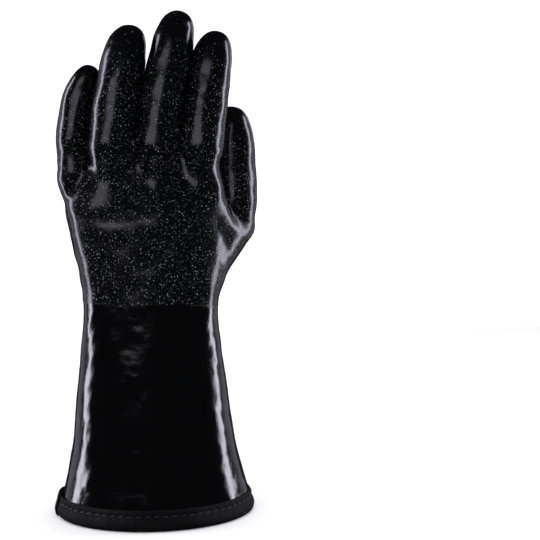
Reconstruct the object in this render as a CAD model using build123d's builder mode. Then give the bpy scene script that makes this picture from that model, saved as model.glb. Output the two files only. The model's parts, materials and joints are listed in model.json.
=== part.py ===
from build123d import *
import math
import os

# Heat resistant gauntlet glove for the left hand, standing on its hem.
# X points to the thumb side, -Y is the back of the hand, +Y the palm, Z up.
# The origin is the centre of the cuff mouth, on the plane that the hem rests on.
# The wall is two skins: a rubber coat outside and a fleece lining inside.
# It is cut at every bend into rigid segments, and a fold of wall fills each notch.

os.makedirs("parts", exist_ok=True)

# ---------------------------------------------------------------- driving sizes
coat = 1.6                 # rubber coat
lining = 3.1               # fleece lining
wall = coat + lining
waist = 0.5                # half gap left in a notch at its hinge
slack = 2.0                # degrees of room beyond each half angle of a notch
fold_gap = 0.05            # a fold stays this far off the segments beside it

hem_height = 13.5          # binding tape, seen from outside
tape = 1.3                 # binding tape thickness
wall_foot = 1.5            # the wall starts this far above the floor
mouth_drop = 5.0           # hollow forms run this far past the hem

# Cross sections of cuff and palm from the hem up:
# (z, centre x, centre y, half width, half depth, roundness power, tilt in degrees)
body_stations = [
    (0.0, -0.8, 0.0, 67.5, 52.5, 2.0, 0.0),
    (13.0, -0.8, 0.0, 64.8, 50.5, 2.0, 0.0),
    (26.0, -0.2, 0.0, 61.2, 48.0, 2.0, 0.0),
    (45.0, -0.2, 0.0, 57.6, 44.5, 2.0, 0.0),
    (80.0, -1.2, 0.0, 53.0, 38.5, 2.0, 0.0),
    (112.0, -1.8, 0.0, 48.8, 32.0, 2.1, 0.0),
    (140.0, -2.2, 0.0, 46.8, 28.5, 2.2, 0.0),
    (160.0, -2.0, 0.5, 48.5, 27.0, 2.3, 2.0),
    (184.0, -6.0, 1.0, 49.5, 24.0, 2.4, 5.0),
    (212.0, -9.5, 1.0, 52.0, 19.5, 2.5, 8.0),
    (237.0, -10.5, 1.5, 54.0, 15.0, 2.6, 8.5),
]

wrist_hinge = (0.0, 0.0, 140.0)
wrist_palm_bend = 35.0
wrist_back_bend = 25.0
wrist_span = 36.0

# Each finger: its centre line starts at the web and ends at the fingertip.
# radii are at the buried root, just above the web, and at the start of the dome.
# hinges are distances up the finger, knuckle its backward and forward bend.
# A digit with a foot reaches into the palm along a slanted bar from that point.
fingers = {
    "index": dict(root=(31.1, 0.0, 249.0), apex=(41.2, 5.0, 328.5), radii=(15.6, 14.1, 13.1),
                  lean=7.2, hinges=(9.0, 42.5, 62.0), knuckle=(10.0, 15.0), bury=26.0),
    "middle": dict(root=(2.0, -1.0, 249.0), apex=(15.0, 6.0, 342.5), radii=(15.4, 13.9, 13.2),
                   lean=6.7, hinges=(9.0, 45.0, 70.5), knuckle=(10.0, 65.0), bury=30.0),
    "ring": dict(root=(-26.2, 1.0, 249.0), apex=(-19.6, 8.0, 333.0), radii=(15.4, 14.3, 13.2),
                 lean=5.8, hinges=(9.0, 41.0, 63.5), knuckle=(10.0, 65.0), bury=30.0),
    "pinky": dict(root=(-54.4, 6.0, 232.0), apex=(-47.7, 12.0, 306.0), radii=(11.5, 12.4, 11.4),
                  lean=5.8, hinges=(9.0, 36.0, 55.0), knuckle=(10.0, 65.0), bury=4.0,
                  foot=(-38.0, 2.0, 190.0), bar_radii=(14.0, 12.8)),
}
middle_back_bend = 4.0
middle_bend = 72.0
tip_ratio = 0.6            # the tip joint bends this share of the middle joint
dome_ratio = 1.15          # fingertip dome length over its radius
base_station = 6.0         # where the shaft's base radius is reached
hinge_depth = 3.0          # hinge lines lie this far to the closing side of the centre line

# The thumb stands in front of the palm and closes across it.
thumb = dict(root=(54.5, 20.5, 196.0), apex=(53.5, 27.0, 281.0), radii=(15.0, 16.4, 14.0),
             hinges=(12.0, 48.0), bury=4.0, foot=(30.0, 8.0, 160.0), bar_radii=(19.5, 16.9))
thumb_facing = 42.6        # degrees from +X to the line from the index finger to the thumb
thumb_close = 45.0
thumb_open = 20.0
thumb_tip_bend = 55.0
thumb_tip_back_bend = 5.0

span_margin = 0.7          # notch prisms reach this far outside a digit
prism_half_length = 24.0
body_reach = 150.0         # prisms through the whole hand or cuff
cuff_reach = 60.0
stub_reach = 70.0          # the prism that trims the buried part of a digit

stitch_count = 64
stitch_length = 3.6
stitch_width = 0.9
stitch_height = 9.6
stitch_lift = 0.48         # middle of the thread, outside the tape
lap_start = -3.0           # the tape's end laps over its start on the little finger side
lap_places = (0.45, 0.525) # the lap's share of the way round from +X, with no stitches
lap_width = 17.0
lap_height = 14.6
lap_thickness = 1.2
lap_inside = 45.0
bartack_rows = 6
bartack_length = 7.0
bartack_foot = 2.8
bartack_pitch = 1.7
bartack_place = 0.486      # share of the way round from +X, just on the palm side of -X


def tan(degrees):
    return math.tan(math.radians(degrees))


# --------------------------------------------------------------- forms to cut from
def oval_points(half_width, half_depth, power, count=16):
    """Points round a superellipse, for one closed smooth curve."""
    points = []
    for step in range(count):
        angle = 2 * math.pi * step / count
        across = math.copysign(abs(math.cos(angle)) ** (2 / power), math.cos(angle))
        deep = math.copysign(abs(math.sin(angle)) ** (2 / power), math.sin(angle))
        points.append((half_width * across, half_depth * deep))
    return points


def station_plane(x, y, z, tilt):
    """A level plane at a station, tilted up towards the thumb side."""
    along = (math.cos(math.radians(tilt)), 0, math.sin(math.radians(tilt)))
    up = (-math.sin(math.radians(tilt)), 0, math.cos(math.radians(tilt)))
    return Plane(origin=(x, y, z), x_dir=along, z_dir=up)


def body_form(inset, foot):
    """Cuff and palm as one solid, inset from the outside, with its foot at a height."""
    stations = [(foot,) + body_stations[0][1:]] + body_stations[1:]
    stations[-1] = (stations[-1][0] - inset,) + stations[-1][1:]
    with BuildPart() as form:
        for z, x, y, half_width, half_depth, power, tilt in stations:
            with BuildSketch(station_plane(x, y, z, tilt)):
                with BuildLine():
                    Spline(*oval_points(half_width - inset, half_depth - inset, power),
                           periodic=True)
                make_face()
        loft()
    return form.part


def axis_plane(start, end):
    """A plane through a centre line, with its x along the line."""
    along = (Vector(*end) - Vector(*start)).normalized()
    return Plane(origin=start, x_dir=along, z_dir=along.cross(Vector(0, 1, 0)).normalized())


def bend_plane(root, apex, hinge_axis):
    """A plane with z along a hinge axis and x up the digit, whose y is the closing side."""
    across = Vector(*hinge_axis).normalized()
    up = (Vector(*apex) - Vector(*root)).normalized()
    up = (up - across * up.dot(across)).normalized()
    return Plane(origin=root, x_dir=up, z_dir=across)


def digit_form(digit, inset):
    """A finger or thumb as a solid of revolution with a domed tip."""
    plane = axis_plane(digit["root"], digit["apex"])
    length = (Vector(*digit["apex"]) - Vector(*digit["root"])).length
    root_radius, base_radius, tip_radius = digit["radii"]
    dome = dome_ratio * tip_radius
    shoulder = length - dome
    with BuildPart() as form:
        with BuildSketch(plane):
            with BuildLine():
                Polyline((shoulder, tip_radius - inset), (base_station, base_radius - inset),
                         (-digit["bury"], root_radius - inset), (-digit["bury"], 0),
                         (length - inset, 0))
                EllipticalCenterArc((shoulder, 0), dome - inset, tip_radius - inset, 0, arc_size=90)
            make_face()
        revolve(axis=Axis(plane.origin, plane.x_dir))
    return form.part


def bar_form(digit, inset):
    """The part of a digit inside the palm: a tapered bar with round ends, up to its root."""
    plane = axis_plane(digit["foot"], digit["root"])
    length = (Vector(*digit["root"]) - Vector(*digit["foot"])).length
    foot_radius, head_radius = (radius - inset for radius in digit["bar_radii"])
    with BuildPart() as form:
        with BuildSketch(plane):
            with BuildLine():
                CenterArc((0, 0), foot_radius, 90, 90)
                Line((0, foot_radius), (length, head_radius))
                CenterArc((length, 0), head_radius, 0, 90)
                Line((length + head_radius, 0), (-foot_radius, 0))
            make_face()
        revolve(axis=Axis(plane.origin, plane.x_dir))
    return form.part


def prism(plane, outline, half_length):
    """A straight prism along a hinge axis, from an outline in the bend plane."""
    with BuildPart() as block:
        with BuildSketch(plane):
            with BuildLine():
                Polyline(*outline, close=True)
            make_face()
        extrude(amount=half_length, both=True)
    return block.part


def slab(low, high, outline=None):
    """A flat slab between two heights, over the whole hem or over an outline."""
    with BuildPart() as block:
        with BuildSketch(Plane.XY.offset(low)):
            if outline is None:
                Rectangle(2 * body_reach, 2 * body_reach)
            else:
                with BuildLine():
                    Polyline(*outline, close=True)
                make_face()
        extrude(amount=high - low)
    return block.part


def notch_edge(hinge, side, span, gap=waist):
    """One side of a notch, from the back to the palm side; side is 1 above the hinge."""
    station, depth, close_bend, open_bend = hinge
    palm_rise = gap + (span - depth) * tan(close_bend / 2 + slack)
    back_rise = gap + (span + depth) * tan(open_bend / 2 + slack)
    return [(station + side * back_rise, -span), (station + side * gap, depth),
            (station + side * palm_rise, span)]


def notch_outline(hinge, span):
    """The whole notch, for the fold of wall that fills it."""
    below = notch_edge(hinge, -1, span, waist - fold_gap)
    above = notch_edge(hinge, 1, span, waist - fold_gap)
    return below + above[::-1]


def segment_outline(low_hinge, high_hinge, span, end):
    """The outline kept between two hinges, or between the last hinge and the end."""
    low = notch_edge(low_hinge, 1, span)
    if high_hinge is None:
        return low + [(end, span), (end, -span)]
    return low + notch_edge(high_hinge, -1, span)[::-1]


def stub_outline(hinge, span):
    """The outline of everything below a digit's first notch."""
    edge = notch_edge(hinge, -1, span)
    start = [(-stub_reach, -stub_reach), (-stub_reach, stub_reach)]
    return start + [(edge[2][0], stub_reach)] + edge[::-1] + [(edge[0][0], -stub_reach)]


def combine(parts, minus=(), keep=None):
    """Join solids, cut others away, and keep what lies inside one more."""
    with BuildPart() as result:
        for part in parts:
            add(part)
        if keep is not None:
            add(keep, mode=Mode.INTERSECT)
        for part in minus:
            add(part, mode=Mode.SUBTRACT)
    return result.part


def write(name, part):
    part.label = name
    export_step(part, f"parts/{name}.step")


# -------------------------------------------------------------------- hinge lines
finger_planes = {}
finger_hinges = {}
for name, finger in fingers.items():
    lean = math.radians(finger["lean"])
    hinge_axis = (-math.cos(lean), 0, math.sin(lean))
    finger_planes[name] = bend_plane(finger["root"], finger["apex"], hinge_axis)
    back_bend, close_bend = finger["knuckle"]
    stations = finger["hinges"]
    finger_hinges[name] = [
        (stations[0], hinge_depth, close_bend, back_bend),
        (stations[1], hinge_depth, middle_bend, middle_back_bend),
        (stations[2], hinge_depth, middle_bend * tip_ratio, middle_back_bend * tip_ratio),
    ]

facing = math.radians(thumb_facing)
thumb_axis = (-math.cos(facing), -math.sin(facing), 0)
thumb_plane = bend_plane(thumb["root"], thumb["apex"], thumb_axis)
thumb_joints = [
    (thumb["hinges"][0], hinge_depth, thumb_close, thumb_open),
    (thumb["hinges"][1], hinge_depth, thumb_tip_bend, thumb_tip_back_bend),
]

wrist_plane = Plane(origin=wrist_hinge, x_dir=(0, 0, 1), z_dir=(-1, 0, 0))
wrist_joint = (0.0, 0.0, wrist_palm_bend, wrist_back_bend)

# --------------------------------------------------------------------- digits
stubs = {}
for name, digit, plane, hinges in (
        [(name, fingers[name], finger_planes[name], finger_hinges[name]) for name in fingers]
        + [("thumb", thumb, thumb_plane, thumb_joints)]):
    span = digit["radii"][1] + span_margin
    outer, middle, hollow = (digit_form(digit, inset) for inset in (0, coat, wall))
    end = (Vector(*digit["apex"]) - Vector(*digit["root"])).length + span
    segment_names = ["base", "middle", "tip"] if len(hinges) == 3 else ["base", "tip"]
    fold_names = ["knuckle", "middle", "tip"] if len(hinges) == 3 else ["base", "tip"]
    for number, hinge in enumerate(hinges):
        following = hinges[number + 1] if number + 1 < len(hinges) else None
        kept = prism(plane, segment_outline(hinge, following, span, end), prism_half_length)
        piece = f"{name}_{segment_names[number]}"
        write(f"{piece}_coat", combine([outer], [middle], kept))
        write(f"{piece}_lining", combine([middle], [hollow], kept))
        notch = prism(plane, notch_outline(hinge, span), prism_half_length)
        write(f"{name}_{fold_names[number]}_fold", combine([outer], [hollow], notch))
    stubs[name] = (prism(plane, stub_outline(hinges[0], span), stub_reach),
                   outer, middle, hollow)

# ---------------------------------------------------------------- hand and cuff
body_outer = body_form(0, wall_foot)
body_middle = body_form(coat, -mouth_drop)
body_hollow = body_form(wall, -mouth_drop)
bars = {name: [bar_form(digit, inset) for inset in (0, coat, wall)]
        for name, digit in (("pinky", fingers["pinky"]), ("thumb", thumb))}

above_wrist = prism(wrist_plane, [(body_reach, -wrist_span), (body_reach, wrist_span)]
                    + notch_edge(wrist_joint, 1, wrist_span)[::-1], body_reach)
below_wrist = prism(wrist_plane, [(-body_reach, cuff_reach), (-body_reach, -cuff_reach),
                                  (-wrist_span / 2, -cuff_reach)]
                    + notch_edge(wrist_joint, -1, wrist_span)
                    + [(-wrist_span / 2, cuff_reach)], body_reach)
wrist_notch = prism(wrist_plane, notch_outline(wrist_joint, wrist_span), body_reach)


def hand_solid(body, layer):
    """Palm and digit stubs of one form, trimmed at every notch."""
    parts = [combine([body], keep=above_wrist)]
    for name, (trim, *forms) in stubs.items():
        parts.append(combine([forms[layer]], keep=trim))
        if name in bars:
            bar = combine([bars[name][layer]], keep=trim)
            parts.append(combine([bar], keep=above_wrist))
    return combine(parts)


hand_outer = hand_solid(body_outer, 0)
hand_middle = hand_solid(body_middle, 1)
middle_cuts = [body_middle] + [forms[2] for forms in stubs.values()]
middle_cuts += [forms[1] for forms in bars.values()]
hollow_cuts = [body_hollow] + [forms[3] for forms in stubs.values()]
hollow_cuts += [forms[2] for forms in bars.values()]
write("hand_coat", combine([hand_outer], middle_cuts))
write("hand_lining", combine([hand_middle], hollow_cuts))

cuff_outer = combine([body_outer], keep=below_wrist)
cuff_middle = combine([combine([body_middle], keep=below_wrist)],
                      keep=slab(wall_foot, body_reach))
write("gauntlet_coat", combine([cuff_outer], [body_middle]))
write("gauntlet_lining", combine([cuff_middle], [body_hollow]))
write("wrist_fold", combine([body_outer], [body_hollow], wrist_notch))

# ------------------------------------------------------------------- hem binding
def stitch_planes(solid, height, places):
    """Planes on the outside of a solid at shares of the way round, x along the seam."""
    level = (Plane.XY.offset(height) * Rectangle(2 * body_reach, 2 * body_reach)) & solid
    rim = level.face().outer_wire()
    planes = []
    for place in places:
        along = rim.tangent_at(place)
        outward = along.cross(Vector(0, 0, 1))
        planes.append(Plane(origin=rim.position_at(place) + outward * stitch_lift,
                            x_dir=along, z_dir=(0, 0, 1)))
    return planes


def stitches(planes, length):
    """Short bars of thread, one on each plane, as one group."""
    with BuildPart() as group:
        with Locations(*[plane.location for plane in planes]):
            Cylinder(stitch_width / 2, length, rotation=(0, 90, 0))
    return group.part


hem_outer = combine([body_form(-tape, 0)], keep=slab(0, hem_height))
hem_ring = combine([hem_outer], [body_form(wall + tape, -mouth_drop)])
write("hem_binding", combine([hem_ring], [combine([body_outer], [body_hollow])]))
rim_places = [number / stitch_count for number in range(stitch_count)
              if not lap_places[0] < number / stitch_count < lap_places[1]]
write("hem_stitching", stitches(stitch_planes(hem_outer, stitch_height, rim_places),
                                stitch_length))

lap_area = [(-2 * cuff_reach, lap_start), (-2 * cuff_reach, lap_start + lap_width),
            (-lap_inside, lap_start + lap_width), (-lap_inside, lap_start)]
lap_outer = combine([body_form(-tape - lap_thickness, 0)], keep=slab(0, lap_height))
write("binding_lap", combine([lap_outer], [body_form(-tape, -mouth_drop)],
                             slab(0, lap_height, lap_area)))

bartack_planes = []
for row in range(bartack_rows):
    height = bartack_foot + row * bartack_pitch
    bartack_planes += stitch_planes(lap_outer, height, [bartack_place])
write("lap_bartack", stitches(bartack_planes, bartack_length))
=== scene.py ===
"""Looks of an insulated, rubber-coated gauntlet glove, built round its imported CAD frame."""
import json
import math

import bmesh
import bpy
import numpy as np
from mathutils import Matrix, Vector


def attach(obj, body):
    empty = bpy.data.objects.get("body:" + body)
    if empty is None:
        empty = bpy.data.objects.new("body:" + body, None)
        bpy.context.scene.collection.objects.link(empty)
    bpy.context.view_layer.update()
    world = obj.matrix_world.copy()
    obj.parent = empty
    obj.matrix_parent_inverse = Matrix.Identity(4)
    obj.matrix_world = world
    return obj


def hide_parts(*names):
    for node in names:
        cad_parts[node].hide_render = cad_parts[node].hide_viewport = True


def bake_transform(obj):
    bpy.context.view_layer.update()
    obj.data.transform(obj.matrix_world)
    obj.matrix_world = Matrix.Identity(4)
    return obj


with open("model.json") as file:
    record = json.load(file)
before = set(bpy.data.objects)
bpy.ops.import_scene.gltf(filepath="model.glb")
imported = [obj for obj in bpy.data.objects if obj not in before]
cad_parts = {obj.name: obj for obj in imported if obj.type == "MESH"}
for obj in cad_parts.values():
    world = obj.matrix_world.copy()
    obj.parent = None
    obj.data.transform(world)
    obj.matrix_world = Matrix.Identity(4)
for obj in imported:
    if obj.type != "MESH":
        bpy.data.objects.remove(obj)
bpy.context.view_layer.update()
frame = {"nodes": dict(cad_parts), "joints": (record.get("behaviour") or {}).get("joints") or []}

MM = 0.001
COAT = 1.6             # wall of the rubber coat, mm
LINING_GAP = 0.05      # between the coat and the lining
LINING = 3.05          # wall of the fleece lining
HINGE_DEPTH = 3.0      # hinge lines lie this far in front of a digit's centre line
CAP = 0.3              # where a fingertip turns into a ball, over its taper length
STEP = 1.25    # edge of one mesh cell on the hand
ROUND = 88      # points round a digit
joints = {j["name"]: j for j in frame["joints"]}


# ------------------------------------------------------------------ number helpers
def unit(v):
    v = np.asarray(v, float)
    return v / np.linalg.norm(v)


def ease(x, low, high):
    """0 below low, 1 above high, smooth between."""
    t = np.clip((x - low) / (high - low), 0, 1)
    return t * t * (3 - 2 * t)


def smooth_min(a, b, k):
    h = np.clip(0.5 + 0.5 * (b - a) / k, 0, 1)
    return b + (a - b) * h - k * h * (1 - h)


def smooth_max(a, b, k):
    return -smooth_min(-a, -b, k)


def along_table(x, table):
    """The columns of a table at x, on smooth curves through its rows."""
    knots, rows = table[:, 0], table[:, 1:]
    slope = np.gradient(rows, knots, axis=0)
    i = np.clip(np.searchsorted(knots, x) - 1, 0, len(knots) - 2)
    width = (knots[i + 1] - knots[i])[:, None]
    t = np.clip((x - knots[i])[:, None] / width, 0, 1)
    a, b, da, db = rows[i], rows[i + 1], slope[i] * width, slope[i + 1] * width
    return (a * (1 + 2 * t) * (1 - t) ** 2 + b * t * t * (3 - 2 * t)
            + da * t * (1 - t) ** 2 - db * t * t * (1 - t))


class Waves:
    """Soft irregular relief, with a standard deviation of 1, from seeded plane waves."""

    def __init__(self, seed, shortest, longest, stretch=(1, 1, 1), count=36):
        rng = np.random.default_rng(seed)
        length = shortest * (longest / shortest) ** rng.random(count)
        way = rng.normal(size=(count, 3))
        way /= np.linalg.norm(way, axis=1)[:, None]
        self.k = 2 * math.pi * way / length[:, None] / np.array(stretch)
        self.phase = rng.random(count) * 2 * math.pi
        weight = length ** 0.7
        self.weight = weight / math.sqrt((weight ** 2).sum() / 2)

    def __call__(self, p):
        return np.sin(p @ self.k.T + self.phase) @ self.weight


# ------------------------------------------------------------------ form of the glove
# height, middle x, middle y, half width, depth behind, depth in front, power, tilt
BODY = np.array([
    (-6, -1.8, 0.0, 66.2, 52.5, 52.5, 2.0, 0.0),
    (0, -1.8, 0.0, 65.8, 52.0, 52.0, 2.0, 0.0),
    (13, -2.0, 0.0, 63.6, 50.3, 50.3, 2.0, 0.0),
    (26, -2.3, 0.0, 60.2, 47.0, 47.0, 2.0, 0.0),
    (45, -2.9, 0.0, 56.2, 43.0, 43.0, 2.0, 0.0),
    (80, -4.2, 0.0, 51.6, 36.6, 36.6, 2.0, 0.0),
    (112, -4.8, 0.0, 47.8, 31.4, 31.4, 2.1, 0.0),
    (140, -5.2, 0.0, 45.8, 27.8, 28.2, 2.2, 0.0),
    (160, -4.8, 0.5, 47.0, 26.5, 26.5, 2.3, 2.0),
    (184, -7.5, 1.0, 49.0, 25.8, 21.5, 2.4, 5.0),
    (199, -8.5, 1.0, 50.5, 25.2, 19.3, 2.4, 6.9),
    (212, -9.5, 1.0, 52.0, 19.8, 16.5, 2.4, 8.0),
    (225, -10.2, 1.2, 52.6, 14.5, 13.5, 2.4, 8.3),
    (237, -10.5, 1.5, 53.0, 11.5, 11.0, 2.3, 8.5),
    (260, -10.5, 2.5, 53.0, 9.0, 9.0, 2.2, 8.5),
])
BODY_TOP = 243.0
# how far a digit's line bows to the back, bows to the little finger side, and stands to
# that side at its root
BOWS = dict(index=(0.2, 0.9, 1.9), middle=(0.2, 0.8, 3.5), ring=(0.8, 0.9, 5.0),
            pinky=(-5.3, 5.6, 0.8), thumb=(-1.5, -2.0, 0.0))
# how far each tip stands from its solid's tip, across and up, and how much its root narrows
TIPS = dict(index=(0.2, 1.0, -0.8), middle=(1.3, 0.2, -1.2), ring=(2.4, 0.0, -1.2),
            pinky=(2.5, 0.4, 0.0), thumb=(-1.2, 0.4, 2.8))


class Digit:
    """A finger or thumb: a centre line with a radius that changes along it."""

    def __init__(self, name, hinges, tip_node, first_station, full, taper, cuts):
        points = [np.array(joints[h]["pos_m"]) / MM for h in hinges]
        way = unit(points[-1] - points[0])
        front = np.cross(unit(joints[hinges[-1]]["axis"]), way)
        self.root = points[0] - HINGE_DEPTH * front - first_station * way
        tip_object = frame["nodes"][tip_node]
        spots = np.array([tip_object.matrix_world @ v.co for v in tip_object.data.vertices]) / MM
        across, higher, self.pinch = TIPS[name]
        apex = spots[spots[:, 2] > spots[:, 2].max() - 0.3].mean(0)
        apex += np.array([across, 0, higher])
        self.length = np.linalg.norm(apex - self.root)
        self.up = (apex - self.root) / self.length
        self.side = unit(np.cross(self.up, front))
        self.front = np.cross(self.side, self.up)
        self.full, self.taper = full, taper
        self.back_bow, self.side_bow, self.side_shift = BOWS[name]
        self.cuts = cuts
        self.shoulder = self.length - CAP * taper
        self.drop = full ** 2 / (2 * taper) * math.exp(-CAP)
        self.cap = math.hypot(self.radius(np.array([self.shoulder]))[0], self.drop)

    def radius(self, s):
        """Full at the root, then narrowing ever faster towards the tip."""
        left = np.maximum(self.length - s, 1e-3)
        swell = 0.1 * np.sin(math.pi * np.clip(s / self.length, 0, 1) * 3)
        narrow = self.pinch * np.maximum(1 - s / 24, 0) ** 2
        return self.full * np.sqrt(1 - np.exp(-left / self.taper)) + swell - narrow

    def slope(self, s):
        """How fast the radius shrinks towards the tip."""
        left = np.maximum(self.length - s, 1e-3)
        return self.full ** 2 / (2 * self.taper) * np.exp(-left / self.taper) / self.radius(s)

    def centre(self, s):
        share = np.clip(s / self.length, 0, 1)[:, None]
        arch = np.sin(math.pi * share)
        aside = self.side_bow * arch + self.side_shift * (1 - share ** 1.6)
        return (self.root + s[:, None] * self.up - self.back_bow * arch * self.front
                + aside * self.side)

    def station(self, p):
        return (p - self.root) @ self.up

    def field(self, p):
        station = self.station(p)
        near = np.clip(station, 0, self.shoulder)
        off = p - self.centre(near)
        rise = off @ self.up
        flat = ((off - rise[:, None] * self.up) ** 2).sum(1)
        wall = np.sqrt(flat + np.minimum(rise, 0) ** 2) - self.radius(near)
        ball = np.sqrt(flat + (rise + self.drop) ** 2) - self.cap
        return np.where(station > self.shoulder, ball, wall)

    def rings(self, low, high, inset, step):
        """Points round the digit between two stations; high None takes in the dome."""
        count = max(2, int(round(((high or self.shoulder) - low) / step)) + 1)
        stations = np.linspace(low, high or self.shoulder, count)
        turn = np.linspace(0, 2 * math.pi, ROUND, endpoint=False)
        way = np.cos(turn)[:, None] * self.side - np.sin(turn)[:, None] * self.front
        radius = self.radius(stations) - inset * np.hypot(1, self.slope(stations))
        rows = [c + r * way for c, r in zip(self.centre(stations), radius)]
        if high is None:
            ball = self.cap - inset
            centre = self.centre(stations[-1:])[0] - self.drop * self.up
            low_lift = math.asin(self.drop / ball)
            for lift in np.linspace(low_lift, math.pi / 2, int(8 / step) + 3)[1:-1]:
                rows.append(centre + ball * (math.cos(lift) * way + math.sin(lift) * self.up))
            return rows, centre + ball * self.up
        return rows, None


# after the first hinge's station: full radius, taper length, and where pieces part
digits = {
    "index": Digit("index", ["index_knuckle", "index_middle", "index_tip"],
                   "index_tip_coat", 9.0, 15.3, 10.5, (4.0, 27.0, 54.0)),
    "middle": Digit("middle", ["middle_knuckle", "middle_middle", "middle_tip"],
                    "middle_tip_coat", 9.0, 15.1, 11.0, (4.0, 27.0, 59.0)),
    "ring": Digit("ring", ["ring_knuckle", "ring_middle", "ring_tip"],
                  "ring_tip_coat", 9.0, 15.9, 12.0, (4.0, 26.0, 53.0)),
    "pinky": Digit("pinky", ["pinky_knuckle", "pinky_middle", "pinky_tip"],
                   "pinky_tip_coat", 9.0, 12.4, 10.5, (3.0, 22.0, 47.0)),
    "thumb": Digit("thumb", ["thumb_base", "thumb_tip"], "thumb_tip_coat", 12.0,
                   16.3, 12.0, (17.0, 42.0)),
}
FINGERS = ("index", "middle", "ring", "pinky")


def rod(p, a, b, ra, rb):
    """Distance to a round-ended rod whose radius changes from one end to the other."""
    a, b = np.array(a, float), np.array(b, float)
    t = np.clip((p - a) @ (b - a) / ((b - a) @ (b - a)), 0, 1)
    return np.linalg.norm(p - a - t[:, None] * (b - a), axis=1) - (ra + (rb - ra) * t)


def body_field(p):
    """Cuff and palm, without digits."""
    x, y, z = p.T
    level = z
    for _ in range(2):
        row = along_table(level, BODY)
        level = z - (x - row[:, 0]) * np.tan(np.radians(row[:, 6]))
    row = along_table(level, BODY)
    cx, cy, wide, behind, front, power, _ = row.T
    deep = np.where(y > cy, front, behind)
    q, r = np.abs(x - cx) / wide, np.abs(y - cy) / deep
    f = np.maximum((q ** power + r ** power) ** (1 / power), 1e-3)
    slope = np.sqrt((q ** (power - 1) / wide) ** 2 + (r ** (power - 1) / deep) ** 2)
    d = (f - 1) / np.maximum(slope * f ** (1 - power), 1 / 80)
    return smooth_max(d, level - BODY_TOP, 8)


SCOOP_CENTRE, SCOOP_SIZE = np.array([3.5, 29.5, 207.0]), np.array([51.0, 20.0, 50.0])
SCOOP_SLOPE = 22.0     # turns the scoop's share into roughly millimetres


def scoop(p):
    """The hollow of the palm."""
    off = (p - SCOOP_CENTRE) / SCOOP_SIZE
    return (np.sqrt((off ** 2).sum(1)) - 1) * SCOOP_SLOPE


# pads of the hand: foot and head, their radii, and how softly each joins the palm
PADS = (((-34, 7, 168), (-43, 6, 204), 15.5, 11.5, 10),       # heel, little finger side
        ((18, 3, 168), (45, 12.5, 191), 18.5, 14.0, 16),      # ball of the thumb
        ((32, 1, 222), (41.5, 8.5, 188), 12.5, 13.0, 6))      # web of the thumb
THUMB_FOOT = (25, 8, 164)


def palm_field(p):
    """The body with the heel of the hand, the scoop of the palm and the thumb's root."""
    x, y, z = p.T
    d = body_field(p)
    # the back slopes away towards the little finger, above a slanted flank
    flank = ((x + 49) * -0.94 + (z - 246) * 0.34)
    d = smooth_max(d, flank, 9)
    for foot, head, foot_radius, head_radius, k in PADS:
        d = smooth_min(d, rod(p, foot, head, foot_radius, head_radius), k)
    d = smooth_max(d, -scoop(p), 6)
    thumb = digits["thumb"]
    root = smooth_min(rod(p, THUMB_FOOT, thumb.root, 17.0, 13.4), thumb.field(p), 3)
    k = 11 - 8.5 * ease(z, 186, 208)
    return smooth_min(d, root, k)


# the ridge each finger continues in on the back of the hand: foot, foot and end radius
RIDGES = dict(index=((28.0, -0.5, 206.0), 12.0, 14.6), middle=((3.0, -2.0, 202.0), 12.5, 14.6),
              ring=((-34.0, -0.5, 208.0), 13.0, 15.2), pinky=((-43.0, 7.5, 182.0), 12.5, 12.2))


def glove_field(p):
    """The outside of the whole glove, in millimetres; negative inside."""
    d = palm_field(p)
    for name in FINGERS:
        digit = digits[name]
        foot, foot_radius, end_radius = RIDGES[name]
        end = digit.centre(np.zeros(1))[0] - 4 * digit.up
        ridge = rod(p, foot, end, foot_radius, end_radius)
        f = smooth_min(digit.field(p), ridge, 1.5)
        k = 1.6 + 4.4 * ease(-p[:, 2], -244 + (24 if name == "pinky" else 0), -206)
        d = smooth_min(d, f, k)
    return d


def gradient(field, p, h=0.25):
    g = np.stack([field(p + h * e) - field(p - h * e) for e in np.eye(3)], 1)
    return g / (2 * h)


def settle(field, p, rounds=4):
    """Moves points onto the zero level of a field."""
    for _ in range(rounds):
        g = gradient(field, p)
        p = p - (field(p) / np.maximum((g ** 2).sum(1), 0.05))[:, None] * g
    return p


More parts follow.
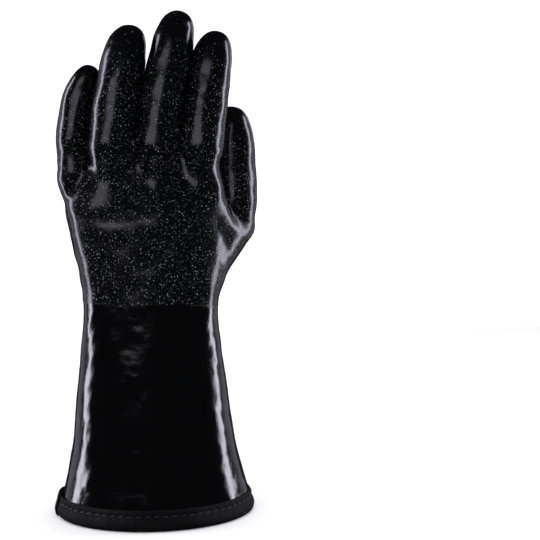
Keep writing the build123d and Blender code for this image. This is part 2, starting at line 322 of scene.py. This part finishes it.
# ------------------------------------------------------------------ meshing
def surface_net(field, low, high, step):
    """A closed quad mesh on the zero level of a field, in one box."""
    axes = [np.arange(a, b + step, step) for a, b in zip(low, high)]
    grid = np.stack(np.meshgrid(*axes, indexing="ij"), -1)
    d = field(grid.reshape(-1, 3)).reshape(grid.shape[:3])
    n = np.array(d.shape)
    total = np.zeros(tuple(n - 1) + (3,))
    count = np.zeros(tuple(n - 1))
    for axis in range(3):
        others = [i for i in range(3) if i != axis]
        for u in (0, 1):
            for v in (0, 1):
                start = [0, 0, 0]
                start[others[0]], start[others[1]] = u, v
                end = list(start)
                end[axis] = 1
                a = d[tuple(slice(start[i], start[i] + n[i] - 1) for i in range(3))]
                b = d[tuple(slice(end[i], end[i] + n[i] - 1) for i in range(3))]
                cross = (a < 0) != (b < 0)
                t = np.where(cross, a / np.where(cross, a - b, 1), 0)
                for i in range(3):
                    total[..., i] += t if i == axis else start[i] * cross
                count += cross
    cells = np.nonzero(count)
    number = -np.ones(tuple(n - 1), int)
    number[cells] = np.arange(len(cells[0]))
    points = np.stack(cells, 1) + total[cells] / count[cells][:, None]
    points = np.array(low) + step * points
    faces = []
    for axis in range(3):
        o1, o2 = [(1, 2), (2, 0), (0, 1)][axis]
        a = d[tuple(slice(0, n[i] - 1) if i == axis else slice(1, n[i] - 1) for i in range(3))]
        b = d[tuple(slice(1, n[i]) if i == axis else slice(1, n[i] - 1) for i in range(3))]
        for sign in (True, False):
            at = np.stack(np.nonzero(((a < 0) == sign) & ((b < 0) != sign)), 1)
            at[:, o1] += 1
            at[:, o2] += 1
            ring = []
            for du, dv in ((1, 1), (0, 1), (0, 0), (1, 0)):
                cell = at.copy()
                cell[:, o1] -= du
                cell[:, o2] -= dv
                ring.append(number[tuple(cell.T)])
            quad = np.stack(ring, 1)
            faces.append(quad if sign else quad[:, ::-1])
    return points, np.concatenate(faces)


def relax(field, points, quads, rounds=4):
    """Evens out a mesh's cells while keeping it on the surface."""
    edges = np.concatenate([quads[:, [i, (i + 1) % 4]] for i in range(4)])
    both = np.concatenate([edges, edges[:, ::-1]])
    count = np.bincount(both[:, 0], minlength=len(points))[:, None]
    for _ in range(rounds):
        total = np.stack([np.bincount(both[:, 0], points[both[:, 1], i], len(points))
                          for i in range(3)], 1)
        points = settle(field, points + 0.6 * (total / count - points), rounds=1)
    return settle(field, points, rounds=2)


def tube_faces(rows, columns, pole=False):
    j = np.arange(columns)
    k = (j + 1) % columns
    faces = []
    for i in range(rows - 1):
        faces += np.stack([i * columns + j, i * columns + k,
                           (i + 1) * columns + k, (i + 1) * columns + j], 1).tolist()
    if pole:
        top = (rows - 1) * columns
        faces += [[top + a, top + b, rows * columns] for a, b in zip(j.tolist(), k.tolist())]
    return faces


def new_mesh(name, points, faces):
    mesh = bpy.data.meshes.new(name)
    mesh.from_pydata((np.asarray(points) * MM).tolist(), [], faces)
    mesh.validate()
    return mesh


def new_object(name, mesh, material):
    piece = bpy.data.objects.new(name, mesh)
    bpy.context.scene.collection.objects.link(piece)
    mesh.materials.clear()
    mesh.materials.append(material)
    return piece


def shell(name, mesh, wall, material):
    """A closed wall built inward from an outer surface."""
    piece = new_object(name, mesh, material)
    solid = piece.modifiers.new("wall", "SOLIDIFY")
    solid.thickness = wall * MM
    solid.offset = -1
    bpy.context.view_layer.update()
    graph = bpy.context.evaluated_depsgraph_get()
    walled = bpy.data.meshes.new_from_object(piece.evaluated_get(graph))
    piece.modifiers.clear()
    piece.data = walled
    piece.data.shade_smooth()
    piece.data.set_sharp_from_angle(angle=math.radians(50))
    return piece


def face_outward(mesh):
    """Turns every face of a closed mesh outward."""
    bm = bmesh.new()
    bm.from_mesh(mesh)
    bmesh.ops.recalc_face_normals(bm, faces=bm.faces)
    bm.to_mesh(mesh)
    bm.free()


def mark_grit_glints(piece):
    """Marks where the grit shows with its painted glints, fewer towards the fingertips, and how
    matt the coat is.
    """
    co = np.array([v.co for v in piece.data.vertices]) / MM
    share = np.ones(len(co))
    matt = 1 - ease(co[:, 2], 200, 228)
    for digit in digits.values():
        s = digit.station(co)
        close = (digit.field(co) < 3) & (s > 0)
        fade = 1 - 0.9 * ease(s / digit.length, 0.35, 0.92)
        share = np.where(close, np.minimum(share, fade), share)
        matt = np.where(close, np.minimum(matt, 1 - ease(s, 0, 25)), matt)
    for name, values in (("grit_glint", share), ("matt", matt)):
        layer = piece.data.attributes.new(name, "FLOAT", "POINT")
        layer.data.foreach_set("value", values.astype(np.float32))


lumps = Waves(11, 14, 34)
dimples = Waves(12, 5, 10)
flutes = Waves(13, 16, 40, (1, 1, 3.2))


def surface_relief(p):
    """Height of the soft unevenness of the dipped coat, in mm."""
    hand = ease(p[:, 2], 135, 160)
    cuff = 0.16 * flutes(p) * (1 - hand)
    return cuff + (0.10 + 0.16 * hand) * lumps(p) + 0.04 * dimples(p)


def dip_line(p):
    """Height at which the rough dip of the hand ends on the smooth cuff."""
    x, y = p[:, 0], p[:, 1]
    return 142.2 - 0.03 * x + 0.9 * np.sin(x / 11 + 1.0) + 0.5 * np.sin(y / 5 + x / 17)


def cuff_points(heights, turn, inset):
    """Points on the cuff's surface at given heights and turns, both arrays of one shape."""
    z, turn = heights.ravel(), turn.ravel()
    row = along_table(z, BODY)
    way = np.stack([row[:, 2] * np.cos(turn), row[:, 3] * np.sin(turn), 0 * z], 1)
    way /= np.linalg.norm(way, axis=1)[:, None]
    centre = np.stack([row[:, 0], row[:, 1], z], 1)
    near, far = np.full(len(z), 8.0), np.full(len(z), 100.0)
    for _ in range(22):
        half = (near + far) / 2
        inside = glove_field(centre + half[:, None] * way) < 0
        near, far = np.where(inside, half, near), np.where(inside, far, half)
    p = centre + near[:, None] * way
    g = gradient(glove_field, p)
    g /= np.linalg.norm(g, axis=1)[:, None]
    return p + (surface_relief(p) - inset)[:, None] * g


CUFF_GIRTH = 380.0     # roughly the way round the cuff, for the number of columns
CUFF_TOP = 145.0       # a little above the dip line


def cuff_shell(name, inset, wall, step, foot, material):
    """The cuff from its foot to just above the dip line, as a closed wall."""
    around = int(CUFF_GIRTH / step)
    up = int(CUFF_TOP / step)
    turn = np.linspace(0, 2 * math.pi, around, endpoint=False)
    level = np.full((1, around), 140.0)
    for _ in range(3):
        ring = cuff_points(level, turn[None, :], inset)
        level = (dip_line(ring) + 0.4)[None, :]
    share = np.linspace(0, 1, up)[:, None]
    heights = foot + (level - foot) * share
    p = cuff_points(heights, np.broadcast_to(turn, heights.shape), inset)
    return shell(name, new_mesh(name, p, tube_faces(up, around)), wall, material)


def digit_shell(name, digit, low, high, inset, wall, step, material):
    """One length of a digit between two stations; high None is the fingertip."""
    rows, pole = digit.rings(low, high, inset, step)
    p = np.concatenate(rows + ([pole[None, :]] if pole is not None else []))
    near = np.minimum(digit.station(p), digit.shoulder)
    out = p - digit.centre(near)
    out /= np.linalg.norm(out, axis=1)[:, None]
    p = p + surface_relief(p)[:, None] * out
    mesh = new_mesh(name, p, tube_faces(len(rows), ROUND, pole is not None))
    piece = shell(name, mesh, wall, material)
    mark_grit_glints(piece)
    return piece


def faces_on(bm, digit, inset, low):
    """The faces on one digit above a station, nearer to it than to any other digit."""
    middle = np.array([f.calc_center_median() for f in bm.faces]) / MM
    other = np.min([d.field(middle) for d in digits.values() if d is not digit], 0)
    mine = digit.field(middle) + inset
    picks = (digit.station(middle) > low) & (mine < 2.2) & (mine < other + inset)
    return [f for f, pick in zip(bm.faces, picks) if pick]


HAND_BOX = (-70, -44, 128), (80, 48, 258)      # corners, with room round the hand
HAND_LIP = 0.35        # the hand's second dip stands this far out of the cuff's coat


def hand_shell(name, inset, wall, step, material):
    """The hand from the dip line to the digits' first cuts, as a closed wall."""
    field = (lambda p: glove_field(p) + inset) if inset else glove_field
    points, quads = surface_net(field, *HAND_BOX, step)
    points = relax(field, settle(field, points), quads)
    g = gradient(field, points)
    g /= np.linalg.norm(g, axis=1)[:, None]
    points = points + surface_relief(points)[:, None] * g
    lip = HAND_LIP if inset == 0 else 0.0
    points = points + (lip * (1 - ease(points[:, 2], 150, 175)))[:, None] * g
    points[:, 2] -= dip_line(points)
    bm = bmesh.new()
    mesh = new_mesh(name, points, quads.tolist())
    bm.from_mesh(mesh)
    bpy.data.meshes.remove(mesh)
    bmesh.ops.bisect_plane(bm, geom=bm.verts[:] + bm.edges[:] + bm.faces[:],
                           plane_co=(0, 0, 0), plane_no=(0, 0, 1), clear_inner=True)
    co = np.array([v.co for v in bm.verts]) / MM
    co[:, 2] += dip_line(co)
    for v, c in zip(bm.verts, co * MM):
        v.co = c
    for digit in digits.values():
        cut = digit.cuts[0]
        near = {}
        for f in faces_on(bm, digit, inset, cut - 2 * step):
            near.update(dict.fromkeys([f, *f.edges, *f.verts]))
        at = digit.root + cut * digit.up
        bmesh.ops.bisect_plane(bm, geom=list(near), plane_co=at * MM, plane_no=digit.up)
        bmesh.ops.delete(bm, geom=faces_on(bm, digit, inset, cut), context="FACES")
    top = max(d.root[2] + d.cuts[0] for d in digits.values()) + 6
    stray = [f for f in bm.faces if f.calc_center_median().z > top * MM]
    bmesh.ops.delete(bm, geom=stray, context="FACES")
    mesh = bpy.data.meshes.new(name)
    bm.to_mesh(mesh)
    bm.free()
    piece = shell(name, mesh, wall, material)
    mark_grit_glints(piece)
    return piece


# ------------------------------------------------------------------ materials
class Nodes:
    """Short calls for one material's node tree."""

    def __init__(self, name, color, roughness):
        self.material = bpy.data.materials.new(name)
        self.material.use_nodes = True
        self.material.diffuse_color = (*color, 1)
        self.tree = self.material.node_tree
        self.shader = self.tree.nodes["Principled BSDF"]
        self.shader.inputs["Base Color"].default_value = (*color, 1)
        self.shader.inputs["Roughness"].default_value = roughness
        self.place = self.tree.nodes.new("ShaderNodeTexCoord").outputs["Object"]

    def link(self, a, b):
        self.tree.links.new(a, b)

    def add(self, kind, **values):
        node = self.tree.nodes.new("ShaderNode" + kind)
        for key, value in values.items():
            name = key.replace("_", " ").title()
            if name in node.inputs:
                node.inputs[name].default_value = value
            else:
                setattr(node, key, value)
        return node

    def attribute(self, name):
        node = self.add("Attribute", attribute_name=name)
        return node.outputs["Fac"]

    def noise(self, scale, detail=2.0, rough=0.5):
        node = self.add("TexNoise", scale=scale, detail=detail, roughness=rough)
        self.link(self.place, node.inputs["Vector"])
        return node.outputs["Fac"]

    def range(self, value, low, high, to_low=0.0, to_high=1.0):
        node = self.add("MapRange")
        self.link(value, node.inputs["Value"])
        for key, number in (("From Min", low), ("From Max", high),
                            ("To Min", to_low), ("To Max", to_high)):
            node.inputs[key].default_value = number
        return node.outputs["Result"]

    def math(self, kind, a, b):
        node = self.add("Math", operation=kind)
        for socket, value in zip(node.inputs, (a, b)):
            if isinstance(value, bpy.types.NodeSocket):
                self.link(value, socket)
            else:
                socket.default_value = value
        return node.outputs[0]

    def mix(self, share, a, b):
        node = self.add("Mix", data_type="RGBA")
        self.link(share, node.inputs["Factor"])
        node.inputs["A"].default_value = (*a, 1)
        node.inputs["B"].default_value = (*b, 1)
        return node.outputs["Result"]

    def bump(self, height, distance, under=None):
        node = self.add("Bump", strength=1.0, distance=distance)
        self.link(height, node.inputs["Height"])
        if under is not None:
            self.link(under, node.inputs["Normal"])
        return node.outputs["Normal"]

    def finish(self, color=None, roughness=None, normal=None):
        for name, value in (("Base Color", color), ("Roughness", roughness),
                            ("Normal", normal)):
            if value is not None:
                self.link(value, self.shader.inputs[name])
        return self.material


# layers of grit specks, each a raised grain with a painted glint: cells per metre, size of a
# speck in its cell, shift, and brightest speck
GRIT_GLINTS = ((600.0, 0.21, 0.0, 1.0), (700.0, 0.21, 0.31, 0.42), (900.0, 0.24, 0.77, 0.25))
GRIT_GLINT_SHARE = 0.85      # share of the cells that hold a speck where the grit is thickest


def rough_coat():
    n = Nodes("rough_coat", (0.008, 0.008, 0.009), 0.3)
    patch = n.range(n.noise(35.0, 2.0), 0.3, 0.7, 0.55, 1.0)
    amount = n.math("MULTIPLY", n.attribute("grit_glint"), patch)
    spots = None
    for scale, size, shift, bright in GRIT_GLINTS:
        cells = n.add("TexVoronoi", scale=scale, randomness=1.0)
        moved = n.add("VectorMath")
        moved.inputs[1].default_value = (shift, shift, 0)
        n.link(n.place, moved.inputs[0])
        n.link(moved.outputs[0], cells.inputs["Vector"])
        pick = n.add("SeparateColor")
        n.link(cells.outputs["Color"], pick.inputs["Color"])
        filled = n.math("MULTIPLY", amount, GRIT_GLINT_SHARE)
        shown = n.math("LESS_THAN", pick.outputs["Red"], filled)
        dot = n.range(cells.outputs["Distance"], size, size * 0.6)
        # how bright each speck's painted glint is, from dim up to its layer's brightest
        tone = n.range(pick.outputs["Green"], 0.0, 1.0, 0.04, bright)
        grit_glint = n.math("MULTIPLY", n.math("MULTIPLY", dot, shown), tone)
        spots = grit_glint if spots is None else n.math("MAXIMUM", spots, grit_glint)
    # the specks' pale bluish colour is painted glint: the light the raised grains catch, painted
    # into the black coat's colour
    color = n.mix(spots, (0.0008, 0.0008, 0.0012), (0.27, 0.27, 0.32))
    grain = n.noise(1500.0, 3.0, 0.6)
    pores = n.noise(420.0, 3.0, 0.55)
    normal = n.bump(pores, 0.00005)
    normal = n.bump(grain, 0.00004, under=normal)
    normal = n.bump(spots, 0.00010, under=normal)
    roughness = n.range(n.noise(240.0, 3.0), 0.3, 0.7, 0.15, 0.21)
    roughness = n.math("ADD", roughness, n.math("MULTIPLY", n.attribute("matt"), 0.04))
    return n.finish(color, roughness, normal)


def smooth_coat():
    n = Nodes("smooth_coat", (0.006, 0.006, 0.007), 0.2)
    n.shader.inputs["Coat Weight"].default_value = 0.25
    n.shader.inputs["Coat Roughness"].default_value = 0.08
    waves = n.noise(260.0, 4.0, 0.7)
    peel = n.noise(900.0, 2.0, 0.5)
    normal = n.bump(waves, 0.00015)
    normal = n.bump(peel, 0.00004, under=normal)
    color = n.mix(n.noise(60.0, 2.0), (0.0003, 0.0003, 0.0004), (0.0008, 0.0008, 0.0012))
    roughness = n.range(n.noise(130.0, 4.0, 0.6), 0.3, 0.7, 0.07, 0.14)
    return n.finish(color, roughness, normal)


def fleece():
    n = Nodes("fleece_lining", (0.04, 0.04, 0.044), 0.95)
    n.shader.inputs["Sheen Weight"].default_value = 0.35
    n.shader.inputs["Sheen Roughness"].default_value = 0.5
    loops = n.add("TexVoronoi", scale=520.0, randomness=0.7)
    n.link(n.place, loops.inputs["Vector"])
    fuzz = n.noise(1300.0, 4.0, 0.7)
    color = n.mix(fuzz, (0.025, 0.025, 0.028), (0.06, 0.06, 0.066))
    normal = n.bump(loops.outputs["Distance"], 0.0004)
    normal = n.bump(fuzz, 0.0003, under=normal)
    return n.finish(color, n.range(fuzz, 0.3, 0.7, 0.88, 1.0), normal)


def tape_weave():
    n = Nodes("hem_tape", (0.009, 0.009, 0.010), 0.6)
    n.shader.inputs["Specular IOR Level"].default_value = 0.2
    place = n.add("UVMap", uv_map="weave")
    split = n.add("SeparateXYZ")
    n.link(place.outputs["UV"], split.inputs["Vector"])
    pitch = 2 * math.pi / 0.75         # a thread of the tape every 0.75 mm
    warp = n.math("SINE", n.math("MULTIPLY", split.outputs["X"], pitch), 0.0)
    weft = n.math("SINE", n.math("MULTIPLY", split.outputs["Y"], pitch * 1.2), 0.0)
    weave = n.range(n.math("MULTIPLY", warp, weft), -1.0, 1.0)
    fuzz = n.noise(1800.0, 3.0, 0.6)
    color = n.mix(weave, (0.0008, 0.0008, 0.001), (0.004, 0.004, 0.005))
    normal = n.bump(weave, 0.00012)
    normal = n.bump(fuzz, 0.00005, under=normal)
    return n.finish(color, n.range(fuzz, 0.3, 0.7, 0.5, 0.72), normal)


def thread_twist():
    n = Nodes("thread", (0.03, 0.03, 0.034), 0.5)
    n.shader.inputs["Sheen Weight"].default_value = 0.2
    strands = n.add("TexWave", scale=900.0, distortion=1.0, bands_direction="DIAGONAL")
    n.link(n.place, strands.inputs["Vector"])
    color = n.mix(strands.outputs["Fac"], (0.0008, 0.0008, 0.001), (0.002, 0.002, 0.0026))
    return n.finish(color, n.range(strands.outputs["Fac"], 0, 1, 0.62, 0.42),
                    n.bump(strands.outputs["Fac"], 0.0001))


MATERIALS = dict(rough_coat=rough_coat(), smooth_coat=smooth_coat(),
                 fleece_lining=fleece(), hem_tape=tape_weave(), thread=thread_twist())


def register(piece, slot, *nodes):
    if nodes:
        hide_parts(*nodes)


def wrist_blend(piece):
    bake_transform(piece)


inner = COAT + LINING_GAP
LINING_STEP = 3.0
gauntlet = cuff_shell("gauntlet", 0.0, COAT, STEP * 1.2, 1.6, MATERIALS["smooth_coat"])
wrist_blend(gauntlet)
register(gauntlet, "smooth_coat", "gauntlet_coat")
cuff_fleece = cuff_shell("gauntlet_fleece", inner, LINING, LINING_STEP, 1.8,
                         MATERIALS["fleece_lining"])
wrist_blend(cuff_fleece)
register(cuff_fleece, "fleece_lining", "gauntlet_lining")

hand = hand_shell("hand", 0.0, COAT, STEP, MATERIALS["rough_coat"])
wrist_blend(hand)
register(hand, "rough_coat", "hand_coat", "wrist_fold")
hand_fleece = hand_shell("hand_fleece", inner, LINING, LINING_STEP, MATERIALS["fleece_lining"])
wrist_blend(hand_fleece)
register(hand_fleece, "fleece_lining", "hand_lining")

# ------------------------------------------------------------------ digits
SEGMENTS = {name: ("base", "middle", "tip") for name in FINGERS}
SEGMENTS["thumb"] = ("base", "tip")
FOLDS = {name: ("knuckle", "middle", "tip") for name in FINGERS}
FOLDS["thumb"] = ("base", "tip")

for name, digit in digits.items():
    for i, segment in enumerate(SEGMENTS[name]):
        body = f"{name}_{segment}"
        low = digit.cuts[i]
        high = digit.cuts[i + 1] if i + 1 < len(digit.cuts) else None
        coat = digit_shell(body, digit, low, high, 0.0, COAT, STEP, MATERIALS["rough_coat"])
        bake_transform(coat)
        register(coat, "rough_coat", f"{body}_coat", f"{name}_{FOLDS[name][i]}_fold")
        fleece_piece = digit_shell(f"{body}_fleece", digit, low, high, inner, LINING,
                                   LINING_STEP, MATERIALS["fleece_lining"])
        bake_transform(fleece_piece)
        register(fleece_piece, "fleece_lining", f"{body}_lining")

# ------------------------------------------------------------------ hem
# the folded tape in section: outward from the coat's surface, and height
TAPE_OUTER = [(0.55, 13.6), (1.0, 13.7), (1.35, 13.2), (1.5, 12.2), (1.45, 11.2), (1.1, 10.2),
              (0.95, 9.6), (1.1, 9.0), (1.55, 8.1), (1.95, 6.9), (2.2, 5.6), (2.25, 4.3),
              (2.05, 3.0), (1.6, 1.8), (0.8, 0.8), (-0.3, 0.2), (-1.6, 0.0), (-3.1, 0.0),
              (-4.4, 0.25), (-5.4, 1.0), (-5.95, 2.2), (-6.1, 3.8), (-6.1, 6.5), (-6.05, 9.5),
              (-6.0, 11.8), (-5.6, 12.6)]
TAPE_INNER = [(-4.95, 12.4), (-4.85, 9.5), (-4.85, 6.0), (-4.8, 3.2), (-4.2, 1.8),
              (-2.8, 1.35), (-1.2, 1.35), (-0.15, 1.9), (0.12, 3.2), (0.12, 6.0),
              (0.1, 9.6), (0.15, 12.6)]
STITCH_HEIGHT = 9.6
STITCHES = 64
LAP = (0.452, 0.523)       # the lap's share of the way round from +X


def rim_frame(share, height):
    """Points of the coat's surface round the hem, with outward directions and distances."""
    fine = np.linspace(0, 2 * math.pi, 1441)
    oval = along_table(np.full(len(fine), 6.0), BODY)
    ring = np.stack([oval[:, 2] * np.cos(fine), oval[:, 3] * np.sin(fine)], 1)
    run = np.concatenate([[0], np.cumsum(np.linalg.norm(np.diff(ring, axis=0), axis=1))])
    turn = np.interp(np.mod(share, 1.0) * run[-1], run, fine)
    row = along_table(height, BODY)
    p = np.stack([row[:, 0] + row[:, 2] * np.cos(turn), row[:, 1] + row[:, 3] * np.sin(turn),
                  height], 1)
    out = np.stack([np.cos(turn) / row[:, 2], np.sin(turn) / row[:, 3], 0 * turn], 1)
    out /= np.linalg.norm(out, axis=1)[:, None]
    return p, out, run[-1]


pucker_waves = Waves(21, 9, 26, count=24)


def tape_point(share, out, height, extra=0.0):
    """A point of the tape: the section's shape with the puckers that the stitches pull."""
    p, way, run = rim_frame(share, np.maximum(height, 0.0))
    outside = ease(out, -1.0, 1.0)
    near = np.exp(-((height - STITCH_HEIGHT) / 3.0) ** 2)
    pinch = 0.5 - 0.5 * np.cos(2 * math.pi * share * STITCHES)
    soft = pucker_waves(np.stack([share * run, 0 * share, height * 0.6], 1))
    lift = outside * (0.42 * near * (pinch - 0.6) + 0.20 * soft * ease(height, 0.4, 4.0))
    p = p + (out + lift + extra)[:, None] * way
    p[:, 2] = height + 0.10 * soft * ease(height, 11.0, 13.0)
    return p


def sweep(name, profile, start, end, columns, material, extra=0.0, closed=True):
    """A band round the hem, from one closed section, with a weave map in millimetres."""
    profile = np.array(profile, float)
    shares = np.linspace(start, end, columns, endpoint=not closed)
    rows = len(profile)
    run = rim_frame(np.zeros(1), np.zeros(1))[2]
    share = np.repeat(shares, rows)
    out, height = np.tile(profile[:, 0], columns), np.tile(profile[:, 1], columns)
    p = tape_point(share, out, height, extra)
    across = np.concatenate([[0], np.cumsum(np.linalg.norm(np.diff(profile, axis=0), axis=1))])
    faces, maps = [], []
    for c in range(columns if closed else columns - 1):
        d = (c + 1) % columns
        for r in range(rows):
            q = (r + 1) % rows
            faces.append([c * rows + r, c * rows + q, d * rows + q, d * rows + r])
            u0, u1 = run * c / columns * (end - start), run * (c + 1) / columns * (end - start)
            v1 = across[q] if q else across[r] + 1
            maps += [(u0, across[r]), (u0, v1), (u1, v1), (u1, across[r])]
    if not closed:
        last = (columns - 1) * rows
        faces.append(list(range(rows))[::-1])
        faces.append([last + r for r in range(rows)])
        ends = [(0, across[r]) for r in range(rows)]
        maps += ends[::-1] + ends
    mesh = new_mesh(name, p, faces)
    layer = mesh.uv_layers.new(name="weave")
    layer.data.foreach_set("uv", np.array(maps, float).ravel())
    piece = new_object(name, mesh, material)
    face_outward(piece.data)
    piece.data.shade_smooth()
    piece.data.set_sharp_from_angle(angle=math.radians(60))
    return piece


hem = sweep("hem_tape", TAPE_OUTER + TAPE_INNER, 0.0, 1.0, 768,
            MATERIALS["hem_tape"])
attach(hem, "cuff")
register(hem, "hem_tape", "hem_binding")

LAP_PROFILE = [(0.9, 14.4), (1.3, 14.6), (2.2, 14.5), (2.55, 14.0), (2.65, 12.6), (2.6, 11.0),
               (2.45, 9.6), (2.7, 8.0), (3.05, 6.6), (3.3, 5.0), (3.25, 3.4), (2.9, 1.9),
               (2.1, 0.6), (1.0, 0.1), (0.2, 0.05), (0.9, 0.75), (1.6, 1.8), (2.0, 3.2),
               (2.05, 4.8), (1.85, 6.4), (1.5, 8.0), (1.2, 9.6), (1.35, 11.2), (1.25, 13.0),
               (0.8, 13.9)]
lap = sweep("hem_lap", LAP_PROFILE, *LAP, 64, MATERIALS["hem_tape"], 0.12, closed=False)
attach(lap, "cuff")
register(lap, "hem_tape", "binding_lap")


def thread_tubes(name, paths, radius, material):
    """Round threads along paths, each a closed tube with tapered ends."""
    points, faces = [], []
    sides = 8
    for path in paths:
        path = np.array(path)
        way = np.gradient(path, axis=0)
        way /= np.linalg.norm(way, axis=1)[:, None]
        steps = np.arange(len(path))
        across = np.cross(way, (0, 0, 1))
        weak = np.linalg.norm(across, axis=1) < 0.2
        across[weak] = np.cross(way[weak], (0, 1, 0))
        across /= np.linalg.norm(across, axis=1)[:, None]
        third = np.cross(way, across)
        start = len(points)
        size = radius * np.minimum(1, 0.55 + 0.9 * np.minimum(steps, steps[::-1]))
        for c, a, b, r in zip(path, across, third, size):
            for k in range(sides):
                t = 2 * math.pi * k / sides
                points.append(c + r * (math.cos(t) * a + math.sin(t) * b))
        faces += (np.array(tube_faces(len(path), sides)) + start).tolist()
        faces.append([start + k for k in range(sides)][::-1])
        faces.append([len(points) - sides + k for k in range(sides)])
    piece = new_object(name, new_mesh(name, np.array(points), faces), material)
    face_outward(piece.data)
    piece.data.shade_smooth()
    return piece


STITCH_REACH = 0.31    # half a stitch, over the pitch of the stitches
LAP_ROOM = 0.004       # no stitch within this share of the way round from the lap
THREAD_RADIUS, TACK_RADIUS = 0.4, 0.33


def stitch_paths():
    """The part of each stitch that shows on the tape."""
    reach = np.linspace(-STITCH_REACH, STITCH_REACH, 9)
    arch = 1 - (reach / STITCH_REACH) ** 4
    height = STITCH_HEIGHT + 0.12 * np.sin(reach * 9)
    middles = [number / STITCHES for number in range(STITCHES)]
    return [tape_point(middle + reach / STITCHES, 0.45 + 0.75 * arch, height)
            for middle in middles
            if not LAP[0] - LAP_ROOM < middle < LAP[1] + LAP_ROOM]


TACK_PLACE, TACK_HALF = 0.486, 0.0092          # middle and half width, as shares of the round
TACK_TURNS = 15
TACK_LOW, TACK_HIGH = 2.6, 11.6
LAP_FACE = [(2.9, 1.9), (3.25, 3.4), (3.3, 5.0), (3.05, 6.6), (2.7, 8.0), (2.45, 9.6),
            (2.6, 11.0), (2.65, 12.6)]


def tack_path():
    """The bartack's thread, to and fro across the lap and up."""
    corners = np.arange(TACK_TURNS)
    fine = np.linspace(0, TACK_TURNS - 1, (TACK_TURNS - 1) * 8 + 1)
    share = np.interp(fine, corners, TACK_PLACE + TACK_HALF * (-1.0) ** corners)
    height = np.interp(fine, corners, np.linspace(TACK_LOW, TACK_HIGH, TACK_TURNS))
    face_out, face_height = np.array(LAP_FACE).T
    return tape_point(share, np.interp(height, face_height, face_out) + 0.22, height)


stitches = thread_tubes("hem_stitches", stitch_paths(), THREAD_RADIUS, MATERIALS["thread"])
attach(stitches, "cuff")
register(stitches, "thread", "hem_stitching")

tack = thread_tubes("lap_tack", [tack_path()], TACK_RADIUS, MATERIALS["thread"])
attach(tack, "cuff")
register(tack, "thread", "lap_bartack")

# ------------------------------------------------------------------ studio
def area_light(name, place, target, size, power):
    data = bpy.data.lights.new(name, "AREA")
    data.shape = "RECTANGLE"
    data.size, data.size_y = size
    data.energy = power
    data.color = (0.87, 0.85, 1.0)
    light = bpy.data.objects.new(name, data)
    bpy.context.scene.collection.objects.link(light)
    light.location = place
    way = np.array(target, float) - np.array(place, float)
    light.rotation_euler = Vector(way).to_track_quat("-Z", "Y").to_euler()
    light.visible_camera = False


for side, name in ((-1, "left"), (1, "right")):
    area_light(name + "_strip", (side * 1.0, 0.13, 0.32), (0, 0, 0.2), (0.22, 1.2), 7.5)
    area_light(name + "_rear", (side * 0.97, 0.72, 0.35), (0, 0, 0.2), (0.6, 1.2), 1.1)
    # dim panels that only the fingers' ridges mirror, one for each face of the glove
    area_light(name + "_panel", (side * 0.50, side * 1.03, 0.645), (0, 0, 0.27), (0.80, 0.40),
               1.7 if side < 0 else 0.9)

# the room's pale light, which the glossy coat mirrors only dimly
world = bpy.data.worlds.new("studio")
bpy.context.scene.world = world
world.use_nodes = True
tree = world.node_tree
tree.nodes["Background"].inputs["Color"].default_value = (1, 1, 1, 1)
tree.nodes["Background"].inputs["Strength"].default_value = 1.3
dim = tree.nodes.new("ShaderNodeBackground")
dim.inputs["Color"].default_value = (0.9, 0.95, 1, 1)
dim.inputs["Strength"].default_value = 0.025
rays = tree.nodes.new("ShaderNodeLightPath")
choice = tree.nodes.new("ShaderNodeMixShader")
tree.links.new(rays.outputs["Is Glossy Ray"], choice.inputs["Fac"])
tree.links.new(tree.nodes["Background"].outputs[0], choice.inputs[1])
tree.links.new(dim.outputs[0], choice.inputs[2])
tree.links.new(choice.outputs[0], tree.nodes["World Output"].inputs["Surface"])

FLOOR = 1.2            # half the floor's side, in metres
floor_mesh = bpy.data.meshes.new("floor")
floor_mesh.from_pydata([(-FLOOR, -FLOOR, 0), (FLOOR, -FLOOR, 0), (FLOOR, FLOOR, 0),
                        (-FLOOR, FLOOR, 0)], [], [(0, 1, 2, 3)])
floor_look = Nodes("floor", (0.86, 0.86, 0.86), 0.6)
floor = new_object("floor", floor_mesh, floor_look.finish(
    floor_look.mix(floor_look.noise(3.0), (0.85, 0.85, 0.85), (0.88, 0.88, 0.88))))
floor.visible_glossy = False

camera_data = bpy.data.cameras.new("camera")
camera = bpy.data.objects.new("camera", camera_data)
bpy.context.scene.collection.objects.link(camera)
CAMERA_DOWN, CAMERA_ASIDE = 2.19, 6.76         # degrees; the glove stands in the left half
camera.location = (0.0, -0.65, 0.19)
camera.rotation_euler = (math.radians(90 - CAMERA_DOWN), 0, math.radians(-CAMERA_ASIDE))
camera_data.lens = 62.8
camera_data.sensor_width = 36
bpy.context.scene.camera = camera
bpy.context.scene.view_settings.view_transform = "Standard"
